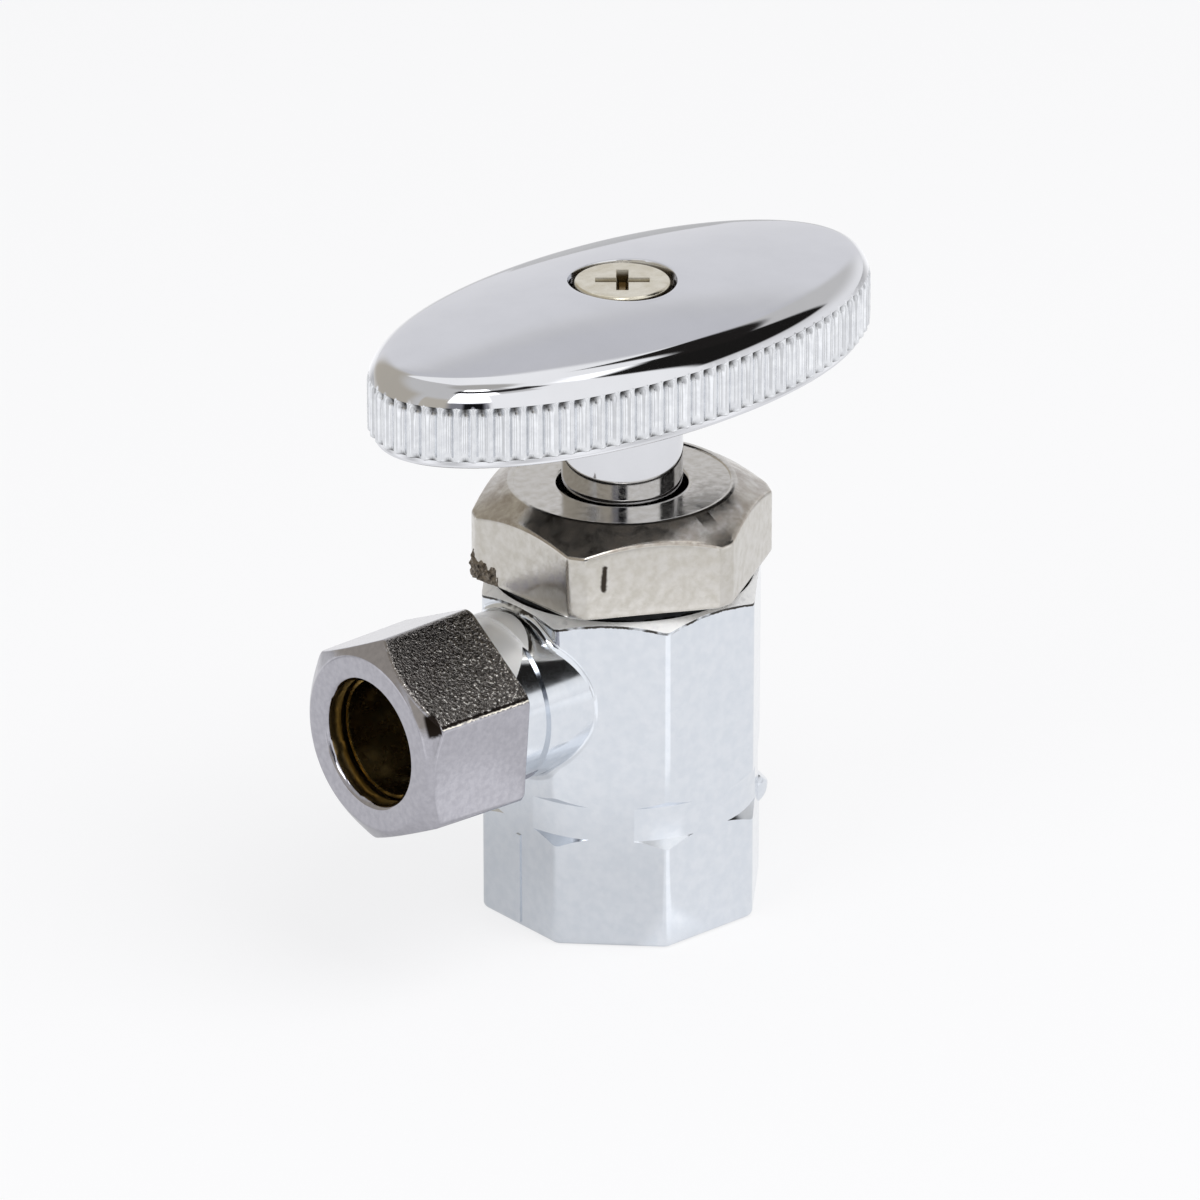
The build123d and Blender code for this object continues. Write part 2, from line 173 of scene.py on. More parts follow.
def new_material(name):
    material = bpy.data.materials.new(name)
    material.use_nodes = True
    tree = material.node_tree
    tree.nodes.clear()
    shader = add(tree, "ShaderNodeBsdfPrincipled")
    add(tree, "ShaderNodeOutputMaterial", links={"Surface": shader.outputs["BSDF"]})
    place = add(tree, "ShaderNodeTexCoord").outputs["Object"]
    return material, tree, shader, place


def mottle(tree, place, size, detail=3, rough=0.55, low=0.35, high=0.65):
    """Clouds of the given size in millimetres, from 0 to 1, with the middle stretched out."""
    clouds = add(tree, "ShaderNodeTexNoise",
                 {"Scale": 1 / (size * MM), "Detail": detail, "Roughness": rough}, {"Vector": place})
    return add(tree, "ShaderNodeMapRange", {"From Min": low, "From Max": high},
               {"Value": clouds.outputs["Fac"]}).outputs["Result"]


def blend(tree, share, first, second):
    """Colour between first and second, each an sRGB hex or a socket."""
    mixed = add(tree, "ShaderNodeMix", {"data_type": "RGBA"}, {0: share})
    for socket, colour in ((6, first), (7, second)):
        if isinstance(colour, str):
            mixed.inputs[socket].default_value = linear(colour)
        else:
            tree.links.new(colour, mixed.inputs[socket])
    return mixed.outputs[2]


def between(tree, share, low, high):
    """A number that goes from low to high with the share."""
    return add(tree, "ShaderNodeMapRange", {"To Min": low, "To Max": high}, {"Value": share}).outputs["Result"]


def within(tree, pattern, mask):
    """The pattern where the mask is 1, and 0 elsewhere."""
    return add(tree, "ShaderNodeMath", {"operation": "MULTIPLY"}, {0: pattern, 1: mask}).outputs[0]


def relief(tree, height, deep, under=None):
    """A bump of the given depth in millimetres, on top of another bump."""
    node = add(tree, "ShaderNodeBump", {"Strength": 1.0, "Distance": deep * MM}, {"Height": height})
    if under is not None:
        tree.links.new(under, node.inputs["Normal"])
    return node.outputs["Normal"]


def soft_band(tree, value, low, high, edge):
    """1 from low to high, with a soft edge outside each end."""
    rise = add(tree, "ShaderNodeMapRange", {
        "interpolation_type": "SMOOTHSTEP", "From Min": low - edge, "From Max": low}, {"Value": value})
    fall = add(tree, "ShaderNodeMapRange", {
        "interpolation_type": "SMOOTHSTEP", "From Min": high, "From Max": high + edge,
        "To Min": 1, "To Max": 0}, {"Value": value})
    return within(tree, rise.outputs["Result"], fall.outputs["Result"])


def towards(tree, place, direction):
    """How far each place lies towards a direction, in metres for a direction of length 1."""
    return add(tree, "ShaderNodeVectorMath", {"operation": "DOT_PRODUCT", 1: direction}, {0: place}).outputs["Value"]


def height_share(tree, place, low, high):
    """0 below the low height and 1 above the high one, in millimetres."""
    height = add(tree, "ShaderNodeSeparateXYZ", links={"Vector": place}).outputs["Z"]
    return add(tree, "ShaderNodeMapRange", {
        "interpolation_type": "SMOOTHSTEP", "From Min": low * MM, "From Max": high * MM}, {"Value": height}).outputs[0]


def cone_level(tree, place, angle):
    """A height that stays the same down a cone of this slope round the stem, and the distance from the stem."""
    level_place = add(tree, "ShaderNodeVectorMath", {"operation": "MULTIPLY", 1: (1, 1, 0)}, {0: place})
    radius = add(tree, "ShaderNodeVectorMath", {"operation": "LENGTH"}, {0: level_place.outputs[0]}).outputs["Value"]
    height = add(tree, "ShaderNodeSeparateXYZ", links={"Vector": place}).outputs["Z"]
    level = add(tree, "ShaderNodeMath", {"operation": "MULTIPLY_ADD", 1: tan(radians(angle))}, {0: radius, 2: height})
    return level.outputs[0], radius


def compass(tree, way):
    """Angle round the valve in degrees, counted from the outlet."""
    split = add(tree, "ShaderNodeSeparateXYZ", links={"Vector": way})
    turn = add(tree, "ShaderNodeMath", {"operation": "ARCTAN2"}, {0: split.outputs["Y"], 1: split.outputs["X"]})
    return add(tree, "ShaderNodeMath", {"operation": "MULTIPLY", 1: 180 / pi}, {0: turn.outputs[0]}).outputs[0]


def streak_mark(tree, place, start, end, width):
    """1 along a short ragged mark from start to end in millimetres, falling to 0 at its width."""
    first, run = Vector(start) * MM, (Vector(end) - Vector(start)) * MM
    wander = add(tree, "ShaderNodeTexNoise", {"Scale": 1 / (0.5 * MM), "Detail": 2}, {"Vector": place})
    shift = add(tree, "ShaderNodeVectorMath", {"operation": "MULTIPLY_ADD", 1: (0.3 * MM,) * 3, 2: (-0.15 * MM,) * 3},
                {0: wander.outputs["Color"]})
    spot = add(tree, "ShaderNodeVectorMath", {"operation": "ADD"}, {0: place, 1: shift.outputs[0]})
    local = add(tree, "ShaderNodeVectorMath", {"operation": "SUBTRACT", 1: first}, {0: spot.outputs[0]})
    along = towards(tree, local.outputs[0], run / run.length_squared)
    share = add(tree, "ShaderNodeMath", {"operation": "MULTIPLY", 1: 1, "use_clamp": True}, {0: along})
    back = add(tree, "ShaderNodeVectorMath", {"operation": "SCALE", 0: run}, {"Scale": share.outputs[0]})
    gap = add(tree, "ShaderNodeVectorMath", {"operation": "DISTANCE"}, {0: local.outputs[0], 1: back.outputs[0]})
    return add(tree, "ShaderNodeMapRange", {
        "interpolation_type": "SMOOTHSTEP", "From Min": width * 0.4 * MM, "From Max": width * MM,
        "To Min": 1, "To Max": 0}, {"Value": gap.outputs["Value"]}).outputs["Result"]


def plated(name, colours, clouds, gloss, waves, grain):
    """Plate or bare metal: clouds of a size between two colours, gloss from the clear to the dull of them,
    then slow waves of the metal and its fine grain, each as size and depth, all in millimetres."""
    material, tree, shader, place = new_material(name)
    cloud_share = mottle(tree, place, clouds)
    shader.inputs["Metallic"].default_value = 1
    tree.links.new(blend(tree, cloud_share, *colours), shader.inputs["Base Color"])
    tree.links.new(between(tree, cloud_share, *gloss), shader.inputs["Roughness"])
    slow = relief(tree, mottle(tree, place, waves[0], 2, 0.45, 0, 1), waves[1])
    tree.links.new(relief(tree, mottle(tree, place, grain[0], 2, 0.6, 0, 1), grain[1], slow), shader.inputs["Normal"])
    return material


def parts_of(material):
    """A material's tree, its shader and the place on the object."""
    tree = material.node_tree
    return tree, tree.nodes["Principled BSDF"], tree.nodes["Texture Coordinate"].outputs["Object"]


def lay_over(tree, shader, share, colour):
    """Lays one more colour over the material's own where the share is 1."""
    tint = shader.inputs["Base Color"]
    tree.links.new(blend(tree, share, tint.links[0].from_socket, colour), tint)


# Surroundings that the plate mirrors: a pale room, lamps and reflectors, dark flags and a light floor
def hang(tree, room, around, up, across, heights, colour, edge, slant=0, glow=1):
    """Hangs one soft-edged sheet in the room; slant lifts it in degrees for each degree round."""
    middle = (across[0] + across[1]) / 2
    lift = add(tree, "ShaderNodeMath", {"operation": "MULTIPLY_ADD", 1: -slant, 2: middle * slant}, {0: around})
    level = add(tree, "ShaderNodeMath", {"operation": "ADD"}, {0: up, 1: lift.outputs[0]})
    sheet = within(tree, soft_band(tree, around, *across, edge), soft_band(tree, level.outputs[0], *heights, edge))
    lit = blend(tree, sheet, room, colour)
    lit.node.inputs[7].default_value = [glow * part for part in linear(colour)[:3]] + [1]
    return lit


def build_room():
    room_world = bpy.data.worlds.new("pale_room")
    bpy.context.scene.world = room_world
    room_world.use_nodes = True
    tree = room_world.node_tree
    tree.nodes.clear()
    way = add(tree, "ShaderNodeTexCoord").outputs["Generated"]
    around = add(tree, "ShaderNodeMath", {"operation": "FLOORED_MODULO", 1: 360}, {0: compass(tree, way)}).outputs[0]
    height = add(tree, "ShaderNodeSeparateXYZ", links={"Vector": way}).outputs["Z"]
    rise = add(tree, "ShaderNodeMath", {"operation": "ARCSINE"}, {0: height})
    up = add(tree, "ShaderNodeMath", {"operation": "MULTIPLY", 1: 180 / pi}, {0: rise.outputs[0]}).outputs[0]

    # Each sheet: degrees round, degrees up, colour, soft edge, and for some a slant and a glow
    room = blend(tree, soft_band(tree, up, -90, 3, 22), "#CBCAC9", "#F2F2F3")
    warm_walls = (((262, 340), (8, 40), "#B7B1A6", 18), ((0, 30), (8, 40), "#BFB9AE", 10))
    grey_wall = (((210, 246), (-10, 30), "#E0E0E3", 14), ((205, 246), (42, 45), "#CDCDD1", 9))
    lamp_over_camera = ((32, 68), (36, 78), "#FFFFFF", 4, 0, 4.0)
    camera_and_its_shade = (((34, 60), (8, 32), "#85858B", 8), ((44, 55), (17, 31), "#141416", 3))
    reflectors = (((196, 262), (50, 90), "#FFFFFF", 3), ((62, 124), (6, 58), "#FFFFFF", 5),
                  ((100, 262), (60, 79), "#FFFFFF", 4), ((128, 160), (63, 67), "#FFFFFF", 6, 0, 1.5))
    gap_between_reflectors = ((24, 112), (68, 73), "#2C2B2C", 3)
    ceiling = ((0, 360), (83, 90), "#B4B2AE", 6)
    dark_flags = (((128, 165), (19, 58), "#1C1B1A", 4), ((158, 206), (46, 56), "#211F1E", 3, 0.1))
    for sheet in (*warm_walls, *grey_wall, lamp_over_camera, *camera_and_its_shade, *reflectors,
                  gap_between_reflectors, ceiling, *dark_flags):
        room = hang(tree, room, around, up, *sheet)
    light = add(tree, "ShaderNodeLightPath")
    mirrored = add(tree, "ShaderNodeBackground", {"Strength": 1.12}, {"Color": room})
    white = add(tree, "ShaderNodeBackground", {"Color": (1, 1, 1, 1), "Strength": 1.0})
    fill = add(tree, "ShaderNodeBackground", {"Color": (1, 1, 1, 1), "Strength": 0.55})
    glossy = add(tree, "ShaderNodeMixShader", links={
        0: light.outputs["Is Glossy Ray"], 1: fill.outputs[0], 2: mirrored.outputs[0]})
    seen = add(tree, "ShaderNodeMixShader", links={
        0: light.outputs["Is Camera Ray"], 1: glossy.outputs[0], 2: white.outputs[0]})
    add(tree, "ShaderNodeOutputWorld", links={"Surface": seen.outputs[0]})


def build_floor():
    mesh = bpy.data.meshes.new("floor")
    half = 3.0
    mesh.from_pydata([(-half, -half, 0), (half, -half, 0), (half, half, 0), (-half, half, 0)], [], [(0, 1, 2, 3)])
    floor = bpy.data.objects.new("floor", mesh)
    bpy.context.scene.collection.objects.link(floor)
    material, tree, shader, place = new_material("matt_white_paper")
    shader.inputs["Base Color"].default_value = linear("#F6F6F7")
    shader.inputs["Roughness"].default_value = 0.9
    output = tree.nodes["Material Output"]
    light = add(tree, "ShaderNodeLightPath").outputs
    seen = add(tree, "ShaderNodeMath", {"operation": "MAXIMUM"},
               {0: light["Is Camera Ray"], 1: light["Is Glossy Ray"]}).outputs[0]

    # In the plate's mirror the floor is brighter where a reflector throws its light, dimmer in the valve's own
    # shade, and streaky beyond the paper's front edge; angles are in degrees and distances in millimetres
    around = compass(tree, place)
    away = add(tree, "ShaderNodeVectorMath", {"operation": "LENGTH"}, {0: place}).outputs["Value"]
    out = add(tree, "ShaderNodeMath", {"operation": "DIVIDE", 1: MM}, {0: away}).outputs[0]
    wide_pool = within(tree, soft_band(tree, around, 68, 98, 12), soft_band(tree, out, 48, 78, 8))
    near_pool = within(tree, soft_band(tree, around, 74, 88, 8), soft_band(tree, out, 16, 30, 5))
    pool = add(tree, "ShaderNodeMath", {"operation": "MAXIMUM"}, {0: wide_pool, 1: near_pool}).outputs[0]
    nine_waves = add(tree, "ShaderNodeMath", {"operation": "MULTIPLY", 1: 9 * pi / 180}, {0: around}).outputs[0]
    streak = add(tree, "ShaderNodeMath", {"operation": "SINE"}, {0: nine_waves}).outputs[0]
    far = within(tree, streak, soft_band(tree, out, 118, 3000, 6))
    shade = within(tree, soft_band(tree, around, -80, 54, 8), soft_band(tree, out, 0, 24, 22))
    level = add(tree, "ShaderNodeMath", {"operation": "MULTIPLY_ADD", 1: 0.4, 2: 1.0}, {0: far}).outputs[0]
    for share, change in ((shade, -0.25), (pool, 0.4)):
        level = add(tree, "ShaderNodeMath", {"operation": "MULTIPLY_ADD", 1: change}, {0: share, 2: level}).outputs[0]
    glow = add(tree, "ShaderNodeMix", {2: 1.0}, {0: light["Is Glossy Ray"], 3: level})
    own_white = add(tree, "ShaderNodeEmission", {"Color": linear("#FAFAFB")}, {"Strength": glow.outputs[0]})
    by_ray = add(tree, "ShaderNodeMix", {2: 0.6, 3: 0.8}, {0: light["Is Camera Ray"]})
    share = within(tree, seen, by_ray.outputs[0])
    paper = add(tree, "ShaderNodeMixShader", links={
        0: share, 1: shader.outputs["BSDF"], 2: own_white.outputs[0]})
    tree.links.new(paper.outputs[0], output.inputs["Surface"])
    mesh.materials.append(material)


def add_lamp(name, place, size, watts, aim=(0, 0, 25)):
    data = bpy.data.lights.new(name, "AREA")
    data.shape = "RECTANGLE"
    data.size, data.size_y = size[0] * MM, size[1] * MM
    data.energy = watts
    lamp = bpy.data.objects.new(name, data)
    bpy.context.scene.collection.objects.link(lamp)
    lamp.location = Vector(place) * MM
    lamp.rotation_euler = (Vector(aim) * MM - lamp.location).to_track_quat("-Z", "Y").to_euler()
    lamp.visible_glossy = False
    return lamp


# Pieces made as one skin over rings of points
def skin(name, rings, finishes, finish_of_ring, body, node):
    """Joins closed rings, the last to the first, and stands the piece in for its node."""
    count = len(rings[0])
    points = [Vector(point) * MM for ring in rings for point in ring]
    faces = []
    for ring in range(len(rings)):
        after = (ring + 1) % len(rings)
        for column in range(count):
            beside = (column + 1) % count
            faces.append((ring * count + column, after * count + column,
                          after * count + beside, ring * count + beside))
    mesh = bpy.data.meshes.new(name)
    mesh.from_pydata(points, [], faces)
    for index, face in enumerate(mesh.polygons):
        face.material_index = finish_of_ring[index // count]
    shape = bmesh.new()
    shape.from_mesh(mesh)
    bmesh.ops.recalc_face_normals(shape, faces=shape.faces)
    shape.to_mesh(mesh)
    shape.free()
    for face in mesh.polygons:
        face.use_smooth = True
    mesh.set_sharp_from_angle(angle=radians(46))
    for finish in finishes:
        mesh.materials.append(finish)
    piece = bpy.data.objects.new(name, mesh)
    bpy.context.scene.collection.objects.link(piece)
    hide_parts(node)
    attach(piece, body)
    return piece


def flatten_faces(piece):
    """Lets the broad faces keep their flat look beside the narrow rounded edges."""
    weighted = piece.modifiers.new("broad_faces_flat", "WEIGHTED_NORMAL")
    weighted.weight = 100
    weighted.keep_sharp = True


def crown_height(x, y):
    """Height of the handle's crown: a barrel, long round along the handle and tighter across it."""
    sag = CROWN_WIDTH_RADIUS - sqrt(CROWN_WIDTH_RADIUS ** 2 - y ** 2)
    return CROWN_TOP - CROWN_LENGTH_RADIUS + sqrt((CROWN_LENGTH_RADIUS - sag) ** 2 - x ** 2)


def rim_columns():
    """Ten places round the oval for each tooth, in millimetres from its ridge along the rim, the last in the
    groove's middle: angle, point, outward direction and height of the ridge."""
    steps = 7200
    angles = [2 * pi * k / steps for k in range(steps + 1)]
    run = [0.0]
    for before, after in zip(angles, angles[1:]):
        run.append(run[-1] + hypot(HANDLE_HALF_LENGTH * (cos(after) - cos(before)),
                                   HANDLE_HALF_WIDTH * (sin(after) - sin(before))))
    pitch = run[-1] / TOOTH_COUNT
    columns = []
    for tooth in range(TOOTH_COUNT):
        for place in (-0.52, -0.38, -0.25, -0.12, 0, 0.12, 0.25, 0.38, 0.52, pitch / 2):
            want = pitch * (tooth + 0.5) + place
            k = min(bisect_right(run, want), steps) - 1
            angle = angles[k] + (want - run[k]) / (run[k + 1] - run[k]) * angles[1]
            outward = Vector((cos(angle) / HANDLE_HALF_LENGTH, sin(angle) / HANDLE_HALF_WIDTH, 0)).normalized()
            ridge = exp(-(abs(place) / RIDGE_HALF_WIDTH) ** 2.2)
            point = Vector((HANDLE_HALF_LENGTH * cos(angle), HANDLE_HALF_WIDTH * sin(angle), 0))
            columns.append((angle, point, outward, ridge))
    return columns


def handle_profile(angle, point, outward, ridge):
    """The handle's section at one column, from the screw well over the crown and rim and back up the hub.
    Gives each point with the finish of the strip that starts there, and how much painted shade it gets."""
    section = []

    def rim(inset, height, finish, shade_share=0):
        spot = point - outward * inset
        section.append(((spot.x, spot.y, height), finish, shade_share))

    def ring(radius, height, finish):
        section.append(((radius * cos(angle), radius * sin(angle), height), finish, 0))

    mirror, satin, shaded_cast = 0, 1, 2

    # Soft edge of the screw well, then the crown out to the shoulder
    edge = crown_height(WELL_RADIUS * cos(angle), WELL_RADIUS * sin(angle))
    ring(WELL_RADIUS, edge - 0.15, mirror)
    ring(WELL_RADIUS + 0.04, edge - 0.05, mirror)
    ring(WELL_RADIUS + 0.14, edge - 0.01, mirror)
    inner, step_in = point - outward * SHOULDER_ROUND, 0.5
    further = inner - outward * step_in
    slope = atan((crown_height(further.x, further.y) - crown_height(inner.x, inner.y)) / step_in)
    centre = crown_height(inner.x, inner.y) - SHOULDER_ROUND / cos(slope)
    touch = point - outward * (SHOULDER_ROUND - SHOULDER_ROUND * sin(slope))
    for share in (0.02, 0.08, 0.2, 0.36, 0.54, 0.72, 0.86, 0.95):
        reach = WELL_RADIUS + 0.14
        x = (1 - share) * reach * cos(angle) + share * touch.x
        y = (1 - share) * reach * sin(angle) + share * touch.y
        section.append(((x, y, crown_height(x, y)), mirror, 0))

    # Rounded shoulder down to the tops of the flutes
    lean_at_flutes = pi / 2 - (FLUTE_TOP - centre) / SHOULDER_ROUND
    for step in range(9):
        lean = slope + (lean_at_flutes - slope) * step / 8
        rim(SHOULDER_ROUND * (1 - sin(lean)), centre + SHOULDER_ROUND * cos(lean), mirror)

    # Flutes, with a deeper pocket at each groove's top end, where painted shade darkens the groove
    groove = TOOTH_DEPTH * (1 - ridge)
    for drop, depth, shade_share in (
        (0.03, 0.4, 0.7), (0.1, 0.9, 1), (0.25, 1.4, 1), (0.45, 1.5, 1), (0.65, 1.25, 0.6), (0.85, 1.05, 0),
        (1.6, 1, 0), (2.7, 1, 0), (3.7, 1, 0), (4.2, 1, 0), (4.4, 1.1, 0.3),
    ):
        height = FLUTE_TOP - drop
        above = max(0, height - centre)
        shoulder = SHOULDER_ROUND - sqrt(SHOULDER_ROUND ** 2 - above ** 2)
        rim(shoulder + max(0, TOOTH_DEPTH - shoulder) * (1 - ridge) * depth, height, satin, shade_share * (1 - ridge) ** 2)
    # The grooves' lower ends above the lip get painted shade as well
    for rise, share, shade_share in ((0.16, 0.06, 0.8), (0.07, 0.24, 1), (0.02, 0.6, 0.8), (0, 1, 0)):
        rim(groove + (LIP_INSET - groove) * share, LIP_TOP + rise, satin, shade_share * (1 - ridge) ** 2)

    # Smooth lip and the rim's underside
    for inset, height in ((0, -0.08), (0, -0.3), (0, -0.45), (0.04, -0.54), (0.12, -0.59), (0.25, -0.6)):
        rim(LIP_INSET + inset, LIP_TOP + height, mirror)
    rim(HOLLOW_INSET - 0.2, RIM_BOTTOM, mirror)
    rim(HOLLOW_INSET - 0.05, RIM_BOTTOM + 0.03, shaded_cast)

    # Hollow, as cast and painted dark as painted shade, with rounded corners at its roof and round the hub
    for height in (RIM_BOTTOM + 0.15, 47, 49, HOLLOW_ROOF - ROOF_ROUND):
        rim(HOLLOW_INSET, height, shaded_cast)
    for step in range(1, 5):
        lean = pi / 2 * step / 4
        rim(HOLLOW_INSET + ROOF_ROUND * (1 - cos(lean)),
            HOLLOW_ROOF - ROOF_ROUND * (1 - sin(lean)), shaded_cast)
    inner = point - outward * (HOLLOW_INSET + ROOF_ROUND)
    for share in (0.1, 0.5, 0.9):
        reach = HUB_RADIUS + HUB_ROOT_ROUND
        section.append((((1 - share) * inner.x + share * reach * cos(angle),
                         (1 - share) * inner.y + share * reach * sin(angle), HOLLOW_ROOF), shaded_cast, 0))
    for step in range(5):
        lean = pi / 2 * step / 4
        ring(HUB_RADIUS + HUB_ROOT_ROUND * (1 - sin(lean)), HOLLOW_ROOF - HUB_ROOT_ROUND * (1 - cos(lean)),
             shaded_cast if step < 3 else mirror)

    # Hub, its broken edge, the spline bore and the screw hole
    for height in (50, 46, 41, HUB_END + 0.5, HUB_END + 0.26):
        ring(HUB_RADIUS, height, mirror)
    for inset, height in ((0.03, 0.18), (0.17, 0.03), (0.26, 0), (1.9, 0)):
        ring(HUB_RADIUS - inset, HUB_END + height, mirror)
    ring(SPLINE_BORE, HUB_END + 0.1, shaded_cast)
    ring(SPLINE_BORE, STEM_TOP, shaded_cast)
    ring(SCREW_HOLE, STEM_TOP, shaded_cast)
    ring(SCREW_HOLE, WELL_FLOOR - 0.05, shaded_cast)
    ring(SCREW_HOLE + 0.05, WELL_FLOOR, shaded_cast)
    ring(WELL_RADIUS - 0.1, WELL_FLOOR, shaded_cast)
    ring(WELL_RADIUS, WELL_FLOOR + 0.1, mirror)
    return section


def build_handle(crown_finish, flute_finish, hollow_finish):
    columns = [handle_profile(*column) for column in rim_columns()]
    turn = Matrix.Rotation(radians(HANDLE_TURN), 4, "Z")
    rings = [[turn @ Vector(column[row][0]) for column in columns] for row in range(len(columns[0]))]
    finish_of_ring = [row[1] for row in columns[0]]
    handle = skin("handle_casting", rings, (crown_finish, flute_finish, hollow_finish), finish_of_ring,
                  "spindle", "handle")
    # How much painted shade each point gets, for the flutes' finish
    shade_share = handle.data.attributes.new("groove_end_shade", "FLOAT", "POINT")
    shade_share.data.foreach_set("value", [column[row][2] for row in range(len(rings)) for column in columns])
    return handle


def hexagon_reach(from_flat, apothem, corner_round=0.0):
    """How far a hexagon with rounded corners reaches at an angle from the middle of its flat."""
    flat_end = degrees(atan((apothem - corner_round) * tan(radians(30)) / apothem))
    if abs(from_flat) <= flat_end:
        return apothem / cos(radians(from_flat))
    from_corner = radians(30 - abs(from_flat))
    centre = (apothem - corner_round) / cos(radians(30))
    return centre * cos(from_corner) + sqrt(corner_round ** 2 - (centre * sin(from_corner)) ** 2)


def soft_corner(centre, radius, start, end, steps=5):
    """Points along a rounded corner; its angles are in degrees from the first axis towards the second."""
    turns = [radians(start + (end - start) * step / steps) for step in range(steps + 1)]
    return [(centre[0] + radius * cos(turn), centre[1] + radius * sin(turn)) for turn in turns]


def softly_least(first, second, edge):
    """The smaller of two numbers, rounded off where they meet."""
    return (first + second - sqrt((first - second) ** 2 + edge ** 2)) / 2


def bonnet_profile(from_flat):
    """The bonnet nut's section at an angle from the middle of a flat."""
    reach = softly_least(hexagon_reach(from_flat, BONNET_FLATS / 2), BONNET_TURNED_RADIUS, 0.04)
    fall = tan(radians(BONNET_CONE_ANGLE))
    crest = BONNET_TOP - (reach - BONNET_LIP_RADIUS) * fall
    lip_inner = BONNET_LIP_RADIUS - BONNET_LIP_WIDTH
    return [
        (BONNET_BORE, BONNET_FACE - 0.3), (BONNET_BORE, BONNET_FACE - 0.15), (BONNET_BORE + 0.15, BONNET_FACE),
        (BONNET_BORE + 0.4, BONNET_FACE), (lip_inner - 0.3, BONNET_FACE), (lip_inner - 0.03, BONNET_FACE + 0.01),
        (lip_inner + 0.02, BONNET_TOP - 0.03), (lip_inner + 0.08, BONNET_TOP), (BONNET_LIP_RADIUS - 0.1, BONNET_TOP),
        (BONNET_LIP_RADIUS + 0.02, BONNET_TOP - 0.04), (BONNET_LIP_RADIUS + 0.15, BONNET_TOP - 0.15 * fall),
        (reach - 0.8, crest + 0.8 * fall), (reach - 0.4, crest + 0.4 * fall),
        *soft_corner((reach - CREST_ROUND, crest - CREST_ROUND * tan(radians(90 - BONNET_CONE_ANGLE) / 2)),
                     CREST_ROUND, 90 - BONNET_CONE_ANGLE, 0),
        (reach, crest - 0.6), (reach, 33),
        (reach, BONNET_BOTTOM + 0.6), (reach, BONNET_BOTTOM + 0.25), (reach - 0.04, BONNET_BOTTOM + 0.1),
        (reach - 0.14, BONNET_BOTTOM + 0.01), (reach - 0.3, BONNET_BOTTOM), (SKIRT_RADIUS, BONNET_BOTTOM),
        (SKIRT_RADIUS, SKIRT_END), (STEM_THREAD_BORE, SKIRT_END), (STEM_THREAD_BORE, GLAND_FLOOR),
        (GLAND_BORE, GLAND_FLOOR), (GLAND_BORE, GROOVE_BOTTOM), (GROOVE_RADIUS, GROOVE_BOTTOM),
        (GROOVE_RADIUS, GROOVE_TOP), (GLAND_BORE, GROOVE_TOP), (GLAND_BORE, HUB_WELL_FLOOR),
        (BONNET_BORE, HUB_WELL_FLOOR),
    ]


def hexagon_columns(turn, corner_half_angle):
    """Angles round a hexagon, close together near its corners, each with its angle from the flat's middle."""
    near_corner = [corner_half_angle * share for share in (1.7, 1.25, 1, 0.8, 0.6, 0.4, 0.2)]
    half = [0, 4, 8, 12, 16, 20] + [30 - angle for angle in near_corner]
    side = [-a for a in reversed(half[1:])] + half + [30]
    return [(turn + 30 + 60 * k + a, a) for k in range(6) for a in side]


def build_bonnet_nut(finish):
    columns = []
    for around, from_flat in hexagon_columns(BONNET_TURN, 3.53):
        angle = radians(around)
        columns.append([(r * cos(angle), r * sin(angle), z) for r, z in bonnet_profile(from_flat)])
    rings = [[column[row] for column in columns] for row in range(len(columns[0]))]
    nut = skin("bonnet_nut_turned", rings, (finish,), [0] * len(rings), "body", "bonnet_nut")
    flatten_faces(nut)
    return nut


def build_burr(finish):
    """A torn flake of metal, folded round the bonnet nut's lower corner and pressed onto its flat."""
    across, tall = 34, 16
    points, faces = [], []
    for row in range(tall + 1):
        for column in range(across + 1):
            share, up = column / across, row / tall
            from_flat = BURR_START + BURR_SPAN * share
            angle = radians(BONNET_TURN - 30 + from_flat)
            ragged = noise.noise(Vector((9 * share, 3 * up, 0.7)))
            crest = 0.95 - 0.45 * share + 0.35 * ragged
            inside = min(1, max(0, (crest - up) * 5)) * min(1, share * 14) * min(1, (1 - share) * 4)
            lump = 0.2 + 0.22 * noise.noise(Vector((14 * share, 6 * up, 3.1))) + 0.15 * (1 - share)
            reach = softly_least(hexagon_reach(abs(from_flat + 60 * (from_flat < -30)), BONNET_FLATS / 2),
                                 BONNET_TURNED_RADIUS, 0.04) - 0.06 + inside * lump
            points.append(Vector((reach * cos(angle), reach * sin(angle), BURR_FOOT + BURR_HEIGHT * up)) * MM)
    for row in range(tall):
        for column in range(across):
            first = row * (across + 1) + column
            faces.append((first, first + 1, first + across + 2, first + across + 1))
    mesh = bpy.data.meshes.new("bonnet_nut_burr")
    mesh.from_pydata(points, [], faces)
    mesh.materials.append(finish)
    burr = bpy.data.objects.new("bonnet_nut_burr", mesh)
    bpy.context.scene.collection.objects.link(burr)
    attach(burr, "body")
    return burr


